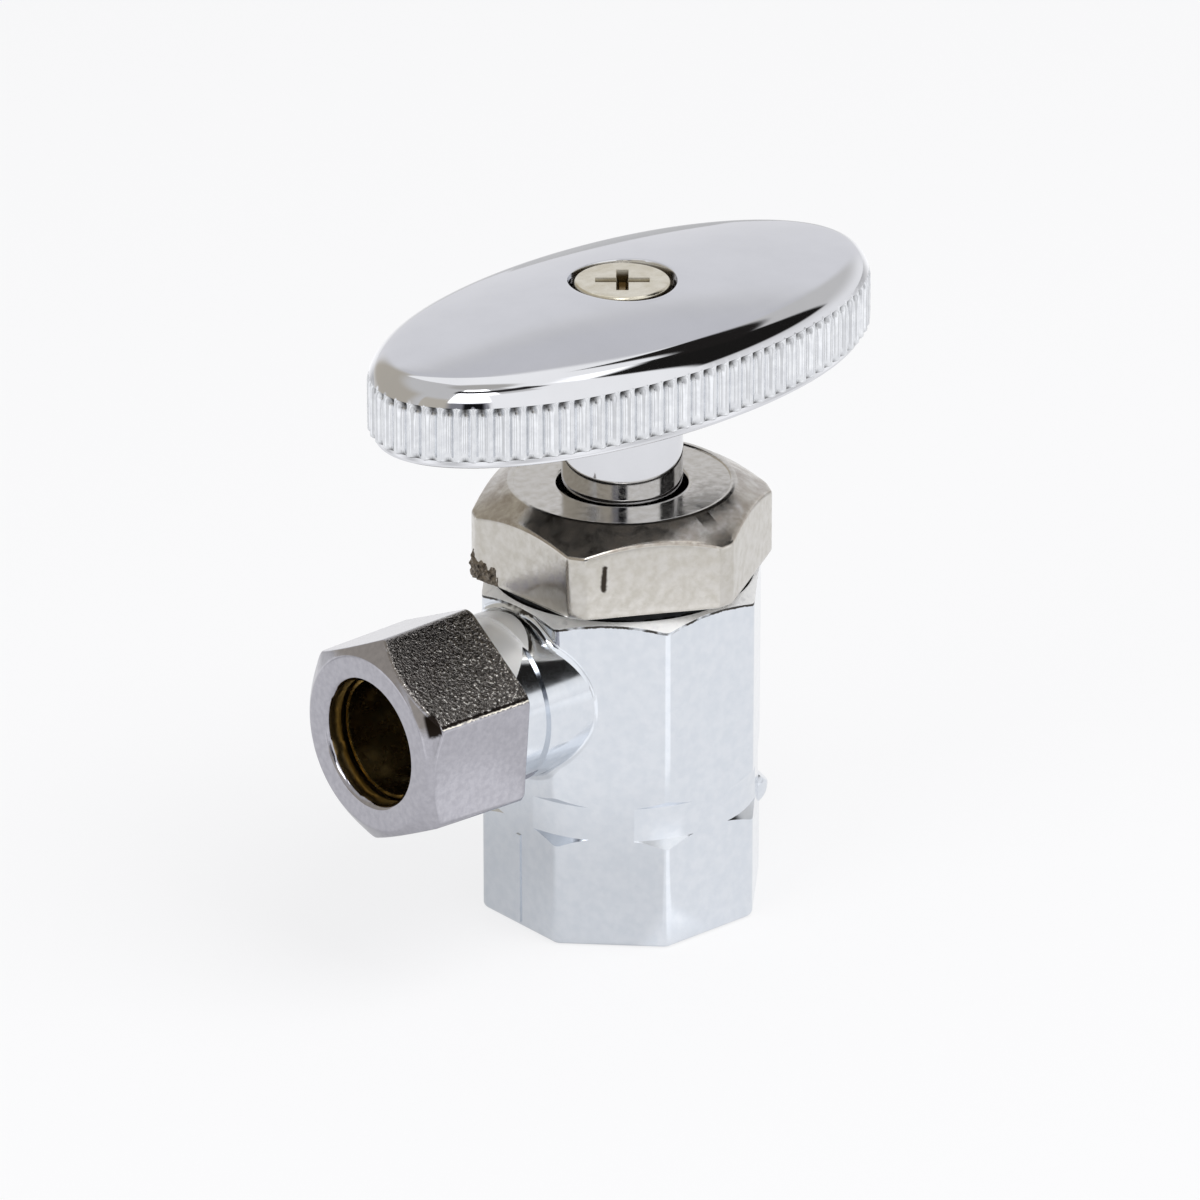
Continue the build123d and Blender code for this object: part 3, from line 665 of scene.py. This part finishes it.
def compression_profile(from_flat):
    """The compression nut's section at an angle from the middle of a flat: places along the outlet and radii."""
    taper = tan(radians(NUT_DRAFT))
    rear_fall = tan(radians(NUT_REAR_ANGLE))
    front_fall = tan(radians(NUT_FRONT_ANGLE))

    def reach_at(along):
        return hexagon_reach(from_flat, NUT_FLATS / 2 - (along - NUT_REAR) * taper, NUT_CORNER_ROUND)

    front = NUT_FRONT - (reach_at(NUT_FRONT) - NUT_FACE_RADIUS) * front_fall
    front = NUT_FRONT - (reach_at(front) - NUT_FACE_RADIUS) * front_fall
    rear_radius = min(NUT_REAR_RADIUS, reach_at(NUT_REAR) - 0.06)
    rear = NUT_REAR + (reach_at(NUT_REAR) - rear_radius) * rear_fall + 0.03
    return [
        (NUT_FRONT - NUT_MOUTH_CHAMFER, NUT_MOUTH), (NUT_FRONT - 0.03, NUT_MOUTH + NUT_MOUTH_CHAMFER - 0.03),
        (NUT_FRONT, NUT_MOUTH + NUT_MOUTH_CHAMFER + 0.04), (NUT_FRONT, NUT_MOUTH + NUT_MOUTH_CHAMFER + 0.2),
        (NUT_FRONT, NUT_FACE_RADIUS - 0.3), (NUT_FRONT, NUT_FACE_RADIUS - 0.06),
        (NUT_FRONT - 0.05, NUT_FACE_RADIUS + 0.04), (NUT_FRONT - 0.2 * front_fall, NUT_FACE_RADIUS + 0.2),
        (front + 0.25 * front_fall, reach_at(front) - 0.25),
        *soft_corner((front - NUT_EDGE_ROUND * tan(radians(90 - NUT_FRONT_ANGLE) / 2),
                      reach_at(front) - NUT_EDGE_ROUND), NUT_EDGE_ROUND, NUT_FRONT_ANGLE, 90),
        (front - 0.4, reach_at(front - 0.4)),
        (24.6, reach_at(24.6)), (22, reach_at(22)), (19, reach_at(19)), (rear + 0.3, reach_at(rear + 0.3)),
        (rear + 0.08, reach_at(rear) - 0.004), (rear - 0.02, reach_at(rear) - 0.05),
        (NUT_REAR + 0.02, rear_radius - 0.02), (NUT_REAR, rear_radius - 0.12), (NUT_REAR, NUT_BORE + 0.2),
        (NUT_REAR, NUT_BORE), (NUT_CONE_REAR, NUT_BORE), (NUT_CONE_FRONT, NUT_MOUTH),
    ]


def build_compression_nut(finish, bore_finish):
    columns = []
    for around, from_flat in hexagon_columns(NUT_TURN, 2.5):
        angle = radians(around)
        columns.append([(along, r * cos(angle), OUTLET_HEIGHT + r * sin(angle))
                        for along, r in compression_profile(from_flat)])
    rings = [[column[row] for column in columns] for row in range(len(columns[0]))]
    bore_strips = 4
    finish_of_ring = [0] * (len(rings) - bore_strips) + [1] * bore_strips
    nut = skin("compression_nut_hexagon", rings, (finish, bore_finish), finish_of_ring,
               "nut", "compression_nut")
    flatten_faces(nut)
    return nut


def dress(node, material):
    for slot in nodes[node].material_slots:
        slot.material = material


# Finishes. Real grinding and buffing grain is 0.01 to 0.05 mm wide, too fine to show, so it is drawn at 0.2 mm or more
def chrome_on_forging():
    """Chrome plate polished over a brass forging: bright and cool, with slow waves from the polishing wheel."""
    material = plated("chrome_on_forged_brass", ("#DEE2E8", "#D8DDE4"), clouds=0.9, gloss=(0.09, 0.12),
                      waves=(3.5, 0.009), grain=(0.4, 0.0012))
    tree, shader, place = parts_of(material)

    # The chamfer round the top is brushed and dull, and painted near white as a painted highlight, with a thin ragged
    # dark line in places along its lower edge
    cone, _ = cone_level(tree, place, BODY_CHAMFER_ANGLE)
    chamfer_level = (BODY_TOP + BODY_CHAMFER_START * tan(radians(BODY_CHAMFER_ANGLE))) * MM
    painted_chamfer_highlight = add(tree, "ShaderNodeMapRange", {
        "From Min": chamfer_level - 0.03 * MM, "From Max": chamfer_level}, {"Value": cone}).outputs[0]
    ragged = add(tree, "ShaderNodeMath", {"operation": "MULTIPLY_ADD", 1: 0.25 * MM},
                 {0: mottle(tree, place, 0.5, 3, 0.7, 0, 1), 2: cone}).outputs[0]
    edge = soft_band(tree, ragged, chamfer_level - 0.08 * MM, chamfer_level + 0.1 * MM, 0.05 * MM)
    dark_edge_marks = add(tree, "ShaderNodeMath", {"operation": "SUBTRACT", "use_clamp": True}, {0: edge, 1: painted_chamfer_highlight}).outputs[0]
    in_places = within(tree, dark_edge_marks, mottle(tree, place, 1.6, 2, 0.5, 0.35, 0.5))
    # Painted highlight: the chamfer's near-white colour
    lay_over(tree, shader, painted_chamfer_highlight, "#F4F4F4")
    # A thin ragged dark line, in places, along the chamfer's lower edge
    lay_over(tree, shader, within(tree, in_places, height_share(tree, place, 26.6, 27)), "#45423F")
    gloss = shader.inputs["Roughness"].links[0].from_socket
    tree.links.new(add(tree, "ShaderNodeMix", {3: 0.38}, {0: painted_chamfer_highlight, 2: gloss}).outputs[0], shader.inputs["Roughness"])
    tree.links.new(between(tree, painted_chamfer_highlight, 1, 0.5), shader.inputs["Metallic"])
    return material


def nickel_on_brass():
    """Worn nickel on turned brass: a warm grey, dulled and stained in soft patches, with painted shade on the cone
    under the handle.
    """
    material = plated("worn_nickel_on_brass", ("#CBC8C3", "#C0BCB4"), clouds=0.8, gloss=(0.12, 0.22),
                      waves=(2.2, 0.012), grain=(0.3, 0.003))
    tree, shader, place = parts_of(material)

    # The cone under the handle is painted a darker brown in soft patches, a painted shade under the handle, and is a
    # little less metallic there
    level, radius = cone_level(tree, place, BONNET_CONE_ANGLE)
    cone_height = BONNET_TOP + BONNET_LIP_RADIUS * tan(radians(BONNET_CONE_ANGLE))
    cone = within(tree, soft_band(tree, level, (cone_height - 0.12) * MM, (cone_height + 0.1) * MM, 0.06 * MM),
                  soft_band(tree, radius, (BONNET_LIP_RADIUS + 0.15) * MM, 13 * MM, 0.1 * MM))
    painted_cone_shade = within(tree, cone, mottle(tree, place, 1.4, 4, 0.65, 0.35, 0.65))
    tree.links.new(between(tree, painted_cone_shade, 1, 0.8), shader.inputs["Metallic"])
    lay_over(tree, shader, painted_cone_shade, "#A1988E")
    # Painted shade along the dent in the flat
    lay_over(tree, shader, streak_mark(tree, place, DENT_TOP, DENT_FOOT, DENT_WIDTH), "#38322C")
    return material


def chrome_on_bar():
    """Chrome plate over rolled brass bar: lavender grey, with open pits of 0.2 mm left by the bar's skin."""
    material = plated("chrome_on_pitted_bar", ("#B2B1B8", "#A8A7AE"), clouds=0.5, gloss=(0.08, 0.13),
                      waves=(2, 0.008), grain=(0.25, 0.003))
    tree, shader, place = parts_of(material)

    # One flat took most of the pits: that flat is painted darker, for its pitted plate and as painted shade, with
    # darker painted shade in the open pits and near-white painted glints crowded at its rear corner
    flat_angle = radians(NUT_TURN + 30)
    flat_level = OUTLET_HEIGHT * sin(flat_angle)
    flat = add(tree, "ShaderNodeMapRange", {
        "From Min": (flat_level + 7.65) * MM, "From Max": (flat_level + 7.85) * MM},
        {"Value": towards(tree, place, (0, cos(flat_angle), sin(flat_angle)))}).outputs["Result"]
    pits = add(tree, "ShaderNodeTexNoise", {"Scale": 1 / (0.26 * MM), "Detail": 2, "Roughness": 0.6},
               {"Vector": place}).outputs["Fac"]
    per_metre_to_rear_corner = (-5, 8.1, 0)
    crowded = add(tree, "ShaderNodeMath", {"operation": "ADD"},
                  {0: pits, 1: towards(tree, place, per_metre_to_rear_corner)})
    # Painted glints: near-white specks, crowded towards the rear corner
    painted_glints = add(tree, "ShaderNodeMapRange", {"From Min": 0.535, "From Max": 0.6}, {"Value": crowded.outputs[0]})
    # Painted shade in the open pits
    shaded_pit = add(tree, "ShaderNodeMapRange", {"From Min": 0.44, "From Max": 0.36}, {"Value": pits})
    pitted = blend(tree, shaded_pit.outputs["Result"], "#8B8784", "#5C5855")
    lay_over(tree, shader, flat, blend(tree, painted_glints.outputs["Result"], pitted, "#FAF7F2"))
    deep = relief(tree, within(tree, pits, flat), 0.13, shader.inputs["Normal"].links[0].from_socket)
    tree.links.new(deep, shader.inputs["Normal"])

    # A painted dark reflection runs along this flat's lower edge and over the chamfer at its front end, beside a
    # painted highlight line
    corner = radians(NUT_TURN)
    over = towards(tree, place, (0, cos(corner), sin(corner)))
    beside = towards(tree, place, (0, -sin(corner), cos(corner)))
    along = towards(tree, place, (1, 0, 0))
    ragged = add(tree, "ShaderNodeMath", {"operation": "MULTIPLY_ADD", 1: 0.3 * MM}, {0: pits, 2: beside}).outputs[0]
    over_level, beside_level = OUTLET_HEIGHT * sin(corner), OUTLET_HEIGHT * cos(corner) + 0.15
    edge = add(tree, "ShaderNodeMapRange", {
        "From Min": (over_level + 8.86) * MM, "From Max": (over_level + 8.9) * MM}, {"Value": over}).outputs["Result"]
    dark_line = within(tree, edge, soft_band(tree, ragged, beside_level * MM, (beside_level + 0.16) * MM, 0.1 * MM))
    thin = soft_band(tree, ragged, (beside_level - 0.16) * MM, (beside_level - 0.08) * MM, 0.05 * MM)
    painted_highlight_line = within(tree, within(tree, edge, thin), mottle(tree, place, 0.9, 2, 0.5, 0.3, 0.55))
    on_chamfer = within(tree, soft_band(tree, along, 25.82 * MM, 27 * MM, 0.05 * MM),
                        soft_band(tree, over, (over_level + 8.0) * MM, 30 * MM, 0.25 * MM))
    dark_tip = within(tree, on_chamfer, soft_band(
        tree, ragged, (beside_level - 0.3) * MM, (beside_level + 1.2) * MM, 0.35 * MM))
    dark_edge_marks = add(tree, "ShaderNodeMath", {"operation": "MAXIMUM"}, {0: dark_line, 1: dark_tip}).outputs[0]
    # Painted highlight line, then the painted dark reflection laid over it
    lay_over(tree, shader, painted_highlight_line, "#FFF9EA")
    lay_over(tree, shader, dark_edge_marks, "#241F1C")
    return material


def chrome_on_casting():
    """Chrome plate on a buffed zinc casting: a mirror with faint waves."""
    return plated("mirror_chrome_on_casting", ("#DBDCE0", "#D7D8DC"), clouds=5, gloss=(0.035, 0.055),
                  waves=(9, 0.006), grain=(1.2, 0.0006))


def chrome_in_flutes():
    """The same plate between the teeth, where no buffing wheel reaches: a little softer, with painted shade at the
    grooves' ends.
    """
    material = plated("satin_chrome_in_flutes", ("#E6E8EB", "#DADCE0"), clouds=0.8, gloss=(0.08, 0.16),
                      waves=(1.0, 0.008), grain=(0.3, 0.003))
    tree, shader, _ = parts_of(material)
    shade_share = add(tree, "ShaderNodeAttribute", {"attribute_name": "groove_end_shade"}).outputs["Fac"]
    # Painted shade at the grooves' ends
    lay_over(tree, shader, shade_share, "#242220")
    return material


def shaded_hollow_casting():
    """Zinc casting inside the handle, thinly plated over its cast skin: dull, and painted dark as painted shade under
    the crown.
    """
    return plated("dull_shaded_cast_hollow", ("#504C49", "#3B3835"), clouds=1.5, gloss=(0.4, 0.6),
                  waves=(0.9, 0.03), grain=(0.25, 0.006))


def nickel_on_steel():
    """Nickel-plated steel screw: cream, soft gloss, and dark brown below its face, down in its cross recess."""
    material = plated("nickel_on_steel_screw", ("#E2DDCE", "#D4CDBA"), clouds=1.2, gloss=(0.18, 0.26),
                      waves=(1.6, 0.006), grain=(0.2, 0.0015))
    tree, shader, place = parts_of(material)
    tint = shader.inputs["Base Color"]
    face = height_share(tree, place, 53.75, 54.28)
    tree.links.new(blend(tree, face, "#57492F", tint.links[0].from_socket), tint)
    return material


def turned_brass():
    """Bare turned brass: yellow, with fine tool marks."""
    return plated("bare_turned_brass", ("#BC9C5C", "#94783F"), clouds=1.0, gloss=(0.2, 0.32),
                  waves=(1.5, 0.002), grain=(0.2, 0.0008))


def torn_metal():
    """Torn, unplated brass at the burr: dark and jagged, with bright torn edges."""
    return plated("torn_metal_burr", ("#4A443D", "#8F867A"), clouds=0.35, gloss=(0.25, 0.45),
                  waves=(0.5, 0.05), grain=(0.15, 0.02))


def burnished_brass():
    """Brass sleeve: its bore has gone brown, and only its front rim is still bright from the lathe."""
    material = plated("burnished_brass_sleeve", ("#937E52", "#6F5D3A"), clouds=1.0, gloss=(0.2, 0.3),
                      waves=(1.5, 0.001), grain=(0.2, 0.0006))
    tree, shader, place = parts_of(material)
    rim_start = NUT_FRONT - SLEEVE_SETBACK - 0.05
    rim = soft_band(tree, towards(tree, place, (1, 0, 0)), rim_start * MM, NUT_FRONT * MM, 0.05 * MM)
    lay_over(tree, shader, rim, "#F3D98F")
    return material


def stained_bore():
    """Bare brass inside the compression nut, brown from flux and water: dull and dark."""
    return plated("stained_brass_bore", ("#8E7A54", "#645437"), clouds=1.2, gloss=(0.28, 0.45),
                  waves=(1.5, 0.002), grain=(0.2, 0.001))


def moulded_rubber():
    """Moulded black rubber, as it leaves its mould: nearly black, soft sheen, fine tooth."""
    material, tree, shader, place = new_material("moulded_black_rubber")
    clouds = mottle(tree, place, 1.2)
    tree.links.new(blend(tree, clouds, "#151516", "#232324"), shader.inputs["Base Color"])
    tree.links.new(between(tree, clouds, 0.5, 0.7), shader.inputs["Roughness"])
    tree.links.new(relief(tree, mottle(tree, place, 0.25), 0.01), shader.inputs["Normal"])
    return material


place_camera()
build_room()
build_floor()
add_lamp("overhead_softbox", (-120, 260, 620), (420, 420), 2.6)
add_lamp("side_softbox", (480, 60, 260), (300, 300), 0.7)

brass = turned_brass()
rubber = moulded_rubber()
build_handle(chrome_on_casting(), chrome_in_flutes(), shaded_hollow_casting())
build_bonnet_nut(nickel_on_brass())
build_burr(torn_metal())
build_compression_nut(chrome_on_bar(), stained_bore())
dress("valve_body", chrome_on_forging())
dress("handle_screw", nickel_on_steel())
for node in ("bonnet_gasket", "stem_o_ring", "seat_washer"):
    dress(node, rubber)
for node in ("stem", "seat_disc", "washer_nut"):
    dress(node, brass)
dress("compression_sleeve", burnished_brass())

bpy.context.scene.view_settings.view_transform = "Standard"
